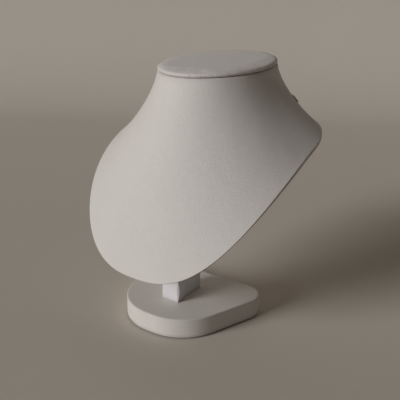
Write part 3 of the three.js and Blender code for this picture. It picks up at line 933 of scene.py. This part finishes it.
# Round the strip: (share of half its height, share of half its thickness), with soft edges.
STRIP_EDGE = [
    (-0.86, -1), (-0.4, -1), (0, -1), (0.4, -1), (0.86, -1), (0.96, -0.75), (1, -0.2),
    (1, 0.2), (0.96, 0.75), (0.86, 1), (0.4, 1.12), (0, 1.15), (-0.4, 1.12), (-0.86, 1),
    (-0.96, 0.75), (-1, 0.2), (-1, -0.2), (-0.96, -0.75),
]
STRAP_TIP = 4.2 * MM


def closed_ends(rows):
    """Columns along a bar from its rings of points, with a middle point added at each end."""
    ends = [sum(ring, Vector()) / len(ring) for ring in (rows[0], rows[-1])]
    count = len(rows[0])
    rows = [[ends[0]] * count, *rows, [ends[1]] * count]
    return [[row[column] for row in rows] for column in range(count)]


def strip_columns():
    """Lines along the strip, one for each point of its section. The free end is rounded."""
    middles = [standing_off(angle, STRAP_MIDDLE, distance) for angle, distance in strap_path]
    lengths = [0.0]
    for first, second in zip(middles, middles[1:]):
        lengths.append(lengths[-1] + (second - first).length)
    rows = []
    for index, ((angle, _), length) in enumerate(zip(strap_path, lengths)):
        ahead = middles[min(index + 1, len(middles) - 1)] - middles[max(index - 1, 0)]
        out = skin_frame(angle, STRAP_MIDDLE)[1]
        up = standing_off(angle, STRAP_MIDDLE + 1 * MM, 0) - standing_off(angle, STRAP_MIDDLE - 1 * MM, 0)
        up.normalize()
        thick = ahead.cross(up).normalized()
        if thick.dot(out) < 0 and index > FOLD_ROWS:
            thick = -thick
        left = lengths[-1] - length
        narrow = 1.0
        if left < STRAP_TIP:
            narrow = math.sqrt(max(0.0, 1 - (1 - left / STRAP_TIP) ** 2)) * 0.999 + 0.001
        half_height = up * narrow * STRAP_HEIGHT / 2
        half_thick = thick * min(1, narrow * 1.6) * STRAP_THICK / 2
        rows.append([
            middles[index] + half_height * across + half_thick * deep for across, deep in STRIP_EDGE
        ])
    return closed_ends(rows)


strap = formed("nape_strap_strip", strip_columns())
edit_all(strap, lambda: bpy.ops.mesh.normals_make_consistent(inside=False))
smooth(strap, 60)
mark_wear_and_shade(strap, lambda place: abs(place.z - STRAP_MIDDLE) / STRAP_HEIGHT * 0.8 - 0.15)
strap_leather = leatherette("strap_leatherette", WARM_WHITE, WARM_SHADE, depth=0.045 * MM)
hinge = Vector(frame["joints"][0]["pos_m"])
before_hinge = standing_off(HINGE_ANGLE + 0.05, STRAP_MIDDLE, outer_layer)
after_hinge = standing_off(HINGE_ANGLE - 0.05, STRAP_MIDDLE, outer_layer)
strap_way = (after_hinge - before_hinge).normalized()
dress(strap, strap_leather)
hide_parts("nape_strap", "strap_anchor")
bend_start, bend_end = hinge - strap_way * BEND_BEFORE, hinge + strap_way * BEND_AFTER
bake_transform(strap)


# ---- Hook-and-loop patches ----
# Two short pieces of woven tape: the hooks are glued to the neck, and the loops are sewn to the strap
# with white thread that shows on its outer side.

tape = Finish("tape", Roughness=0.92, Specular_IOR_Level=0.2, Sheen_Weight=0.35)
pile = tape.cells(2600) * 0.8 + tape.noise(1900, 4) * 0.6
tape.paint(Base_Color=tape.between(pile, rgb(0.56, 0.545, 0.51), rgb(0.78, 0.765, 0.73)))
tape.raise_by(pile, 0.3 * MM)

PATCH_FROM = STRAP_END + math.radians(1.6)
PATCH_LENGTH = math.radians(12.6)
PATCH_HALF = STRAP_HEIGHT / 2 - 1.1 * MM
PATCH_STEPS = 22
PATCH_ENDS = (0.93, 0.985)
PATCH_EDGE = [
    (-0.94, 0), (0.94, 0), (1, 0.25), (1, 0.7), (0.94, 1),
    (0.4, 1.05), (-0.4, 1.05), (-0.94, 1), (-1, 0.7), (-1, 0.25),
]


def patch(name, near, far):
    """A slab of tape that follows the neck between two distances from its skin."""
    rows = []
    for step in range(PATCH_STEPS + 1):
        angle = PATCH_FROM + PATCH_LENGTH * step / PATCH_STEPS
        end = min(step, PATCH_STEPS - step)
        narrow = PATCH_ENDS[end] if end < len(PATCH_ENDS) else 1.0
        rows.append([
            standing_off(angle, STRAP_MIDDLE + across * PATCH_HALF * narrow, near + (far - near) * deep)
            for across, deep in PATCH_EDGE
        ])
    made = formed(name, closed_ends(rows))
    edit_all(made, lambda: bpy.ops.mesh.normals_make_consistent(inside=False))
    smooth(made, 50)
    return made


HOOKS_NEAR, HOOKS_FAR = 0.04 * MM, 0.32 * MM
LOOPS_NEAR, LOOPS_FAR = 0.36 * MM, 0.66 * MM
hooks = patch("hook_tape", HOOKS_NEAR, HOOKS_FAR)
fit(hooks, "stand", tape.material, "hook_tape", "hook_patch")
loops = patch("loop_tape", LOOPS_NEAR, LOOPS_FAR)
fit(loops, "strap", tape.material, "hook_tape", "loop_patch")

thread = Finish("thread", Roughness=0.7, Specular_IOR_Level=0.3, Sheen_Weight=0.2)
twist = thread.noise(5200, 2)
thread.paint(Base_Color=thread.between(twist, rgb(0.60, 0.58, 0.55), rgb(0.82, 0.80, 0.77)))
thread.raise_by(twist, 0.05 * MM)

STITCH_LENGTH = 1.3 * MM
STITCH_PITCH = 1.9 * MM
STITCH_RADIUS = 0.19 * MM
STITCH_INSET = 0.9 * MM
outer_face = TAPE_ROOM + STRAP_THICK * 1.04


def stitch_places():
    """Where the stitches lie in a rectangle round the patch: pairs of an angle and a height."""
    patch_ends = [standing_off(PATCH_FROM + turn, STRAP_MIDDLE, 0) for turn in (0, PATCH_LENGTH)]
    per_length = PATCH_LENGTH / (patch_ends[1] - patch_ends[0]).length
    left = PATCH_FROM + STITCH_INSET * per_length
    right = PATCH_FROM + PATCH_LENGTH - STITCH_INSET * per_length
    half = PATCH_HALF - 0.75 * MM
    corners = [(left, -half), (right, -half), (right, half), (left, half), (left, -half)]
    found = []
    for (angle_a, height_a), (angle_b, height_b) in zip(corners, corners[1:]):
        length = abs(angle_b - angle_a) / per_length + abs(height_b - height_a)
        count = max(1, round(length / STITCH_PITCH))
        for number in range(count):
            half_stitch = 0.5 * STITCH_LENGTH / STITCH_PITCH
            ends = [(number + 0.5 + side * half_stitch) / count for side in (-1, 1)]
            angles = [angle_a + (angle_b - angle_a) * end for end in ends]
            heights = [STRAP_MIDDLE + height_a + (height_b - height_a) * end for end in ends]
            found.append(list(zip(angles, heights)))
    return found


select_nothing()
bpy.ops.mesh.primitive_uv_sphere_add(segments=8, ring_count=6, radius=1)
pattern = bpy.context.object
stitches = []
for first, second in stitch_places():
    start, end = standing_off(*first, outer_face), standing_off(*second, outer_face)
    out = skin_frame(*first)[1]
    along = (end - start).normalized()
    beside = along.cross(out).normalized()
    one = pattern.copy()
    one.data = pattern.data.copy()
    bpy.context.scene.collection.objects.link(one)
    for vertex in one.data.vertices:
        length, width, depth = vertex.co.z, vertex.co.x, vertex.co.y
        square = math.copysign(abs(length) ** 0.6, length)
        vertex.co = (
            (start + end) / 2
            + along * square * STITCH_LENGTH / 2
            + beside * width * STITCH_RADIUS
            + out * depth * STITCH_RADIUS * 0.8
        )
    stitches.append(one)
bpy.data.objects.remove(pattern)
select_only(stitches[0])
for one in stitches:
    one.select_set(True)
bpy.ops.object.join()
stitching = bpy.context.object
stitching.name = stitching.data.name = "patch_stitching"
edit_all(stitching, lambda: bpy.ops.mesh.normals_make_consistent(inside=False))
smooth(stitching, 60)
dress(stitching, thread.material)
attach(stitching, "strap")


# ---- Rivet ----
# A zinc-plated tubular rivet with a low domed head, set through the strap's folded end into the shell.

RIVET_HEAD_RADIUS = 2.6 * MM
RIVET_RADIUS = 1.2 * MM
RIVET_LENGTH = 9 * MM
RIVET_RIM = 0.15 * MM
RIVET_DOME = 0.75 * MM
rivet_foot, rivet_out = skin_frame(HINGE_ANGLE + STRAP_TAB / 2, STRAP_MIDDLE)
head_low = STRAP_ROOM + STRAP_THICK + 0.02 * MM
shank_foot = head_low - RIVET_LENGTH
rivet_profile = [
    (0, shank_foot),
    (RIVET_RADIUS, shank_foot),
    (RIVET_RADIUS, head_low),
    (RIVET_HEAD_RADIUS - RIVET_RIM, head_low),
    (RIVET_HEAD_RADIUS, head_low + RIVET_RIM),
]
for step in range(0, 7):
    turn = QUARTER * step / 6
    rivet_profile.append((
        RIVET_HEAD_RADIUS * 0.985 * math.cos(turn) ** 0.8,
        head_low + 0.28 * MM + RIVET_DOME * math.sin(turn),
    ))
across_rivet = rivet_out.cross(Vector((0, 0, 1))).normalized()
up_rivet = across_rivet.cross(rivet_out).normalized()
RIVET_STEPS = 32
rivet_columns = []
for step in range(RIVET_STEPS):
    turn = 2 * math.pi * step / RIVET_STEPS
    way = across_rivet * math.cos(turn) + up_rivet * math.sin(turn)
    rivet_columns.append([
        rivet_foot + way * radius + rivet_out * height for radius, height in rivet_profile
    ])
rivet = formed("strap_rivet", rivet_columns)
edit_all(rivet, lambda: bpy.ops.mesh.normals_make_consistent(inside=False))
smooth(rivet, 40)
fit(rivet, "stand", zinc.material, "screw_steel", "anchor_rivet")


# ---- Floor, light and camera ----
# A plain pale floor that sweeps up far behind the stand, a broad soft light from the front left, a weak
# one from behind, and a dim warm sky.

CAMERA_YAW = math.radians(33.27)
SWEEP_START = 0.95
SWEEP_RADIUS = 0.45
SWEEP_ARC = SWEEP_RADIUS * QUARTER
FLOOR_REACH = 6
SWEEP_TOP = 2.5


def sweep_place(across, along):
    """A point of the floor, or of the sweep behind it, away from the camera."""
    turn = max(0.0, min(QUARTER, (along - SWEEP_START) / SWEEP_RADIUS))
    flat = min(along, SWEEP_START) + SWEEP_RADIUS * math.sin(turn)
    height = SWEEP_RADIUS * (1 - math.cos(turn)) + max(0.0, along - SWEEP_START - SWEEP_ARC)
    ahead = Vector((-math.sin(CAMERA_YAW), math.cos(CAMERA_YAW), 0))
    right = Vector((math.cos(CAMERA_YAW), math.sin(CAMERA_YAW), 0))
    return right * across + ahead * flat + Vector((0, 0, height))


bend = [SWEEP_START + SWEEP_ARC * step / 24 for step in range(25)]
sweep = [-FLOOR_REACH, *bend, bend[-1] + SWEEP_TOP]
sweep_sides = (-FLOOR_REACH, FLOOR_REACH)
floor_columns = [[sweep_place(across, along) for along in sweep] for across in sweep_sides]
floor = formed("floor", floor_columns, ring=False)
smooth(floor, 60)
FLOOR_PALE = rgb(0.66, 0.615, 0.545)
FLOOR_DEEP = rgb(0.63, 0.585, 0.515)
ground = Finish("floor_paint", Roughness=0.75, Specular_IOR_Level=0.25)
cloud = ground.noise(3.0, 2)
ground.paint(Base_Color=ground.between(cloud, FLOOR_PALE, FLOOR_DEEP))
floor.data.materials.append(ground.material)


def broad_light(name, toward, strength, spread, colour):
    """A soft light from far off, given the way from the object to it."""
    select_nothing()
    bpy.ops.object.light_add(type="SUN")
    light = bpy.context.object
    light.name = name
    light.data.energy = strength
    light.data.angle = math.radians(spread)
    light.data.color = colour
    light.rotation_mode = "QUATERNION"
    light.rotation_quaternion = Vector(toward).to_track_quat("Z", "Y")


WINDOW_WAY = (-0.41, -0.85, 0.33)
WINDOW_COLOUR = (1.0, 0.985, 0.98)
BACK_WAY = (0.25, 0.90, 0.45)
BACK_COLOUR = (1.0, 0.90, 0.82)
SKY_COLOUR = rgb(1.0, 0.84, 0.75)
SKY_STRENGTH = 0.047
broad_light("window", WINDOW_WAY, 2.0, 24, WINDOW_COLOUR)
broad_light("back_wall", BACK_WAY, 0.16, 60, BACK_COLOUR)

sky = bpy.data.worlds.new("sky")
sky.use_nodes = True
background = sky.node_tree.nodes["Background"]
background.inputs["Color"].default_value = SKY_COLOUR
background.inputs["Strength"].default_value = SKY_STRENGTH
bpy.context.scene.world = sky
bpy.context.scene.view_settings.view_transform = "Standard"

CAMERA_PLACE = Vector((283.22, -402.50, 283.91)) * MM
CAMERA_PITCH = math.radians(18.97)
CAMERA_ROLL = math.radians(1.2)
CAMERA_LENS = 50.89
CAMERA_SENSOR = 36
bpy.ops.object.camera_add(location=CAMERA_PLACE)
camera = bpy.context.object
camera.data.sensor_width = CAMERA_SENSOR
camera.data.lens = CAMERA_LENS
yaw_sin, yaw_cos = math.sin(CAMERA_YAW), math.cos(CAMERA_YAW)
pitch_sin, pitch_cos = math.sin(CAMERA_PITCH), math.cos(CAMERA_PITCH)
level_right = Vector((yaw_cos, yaw_sin, 0))
level_up = Vector((-yaw_sin * pitch_sin, yaw_cos * pitch_sin, pitch_cos))
right = level_right * math.cos(CAMERA_ROLL) + level_up * math.sin(CAMERA_ROLL)
up = level_up * math.cos(CAMERA_ROLL) - level_right * math.sin(CAMERA_ROLL)
backward = right.cross(up)
camera.rotation_mode = "QUATERNION"
camera.rotation_quaternion = Matrix((right, up, backward)).transposed().to_quaternion()
bpy.context.scene.camera = camera
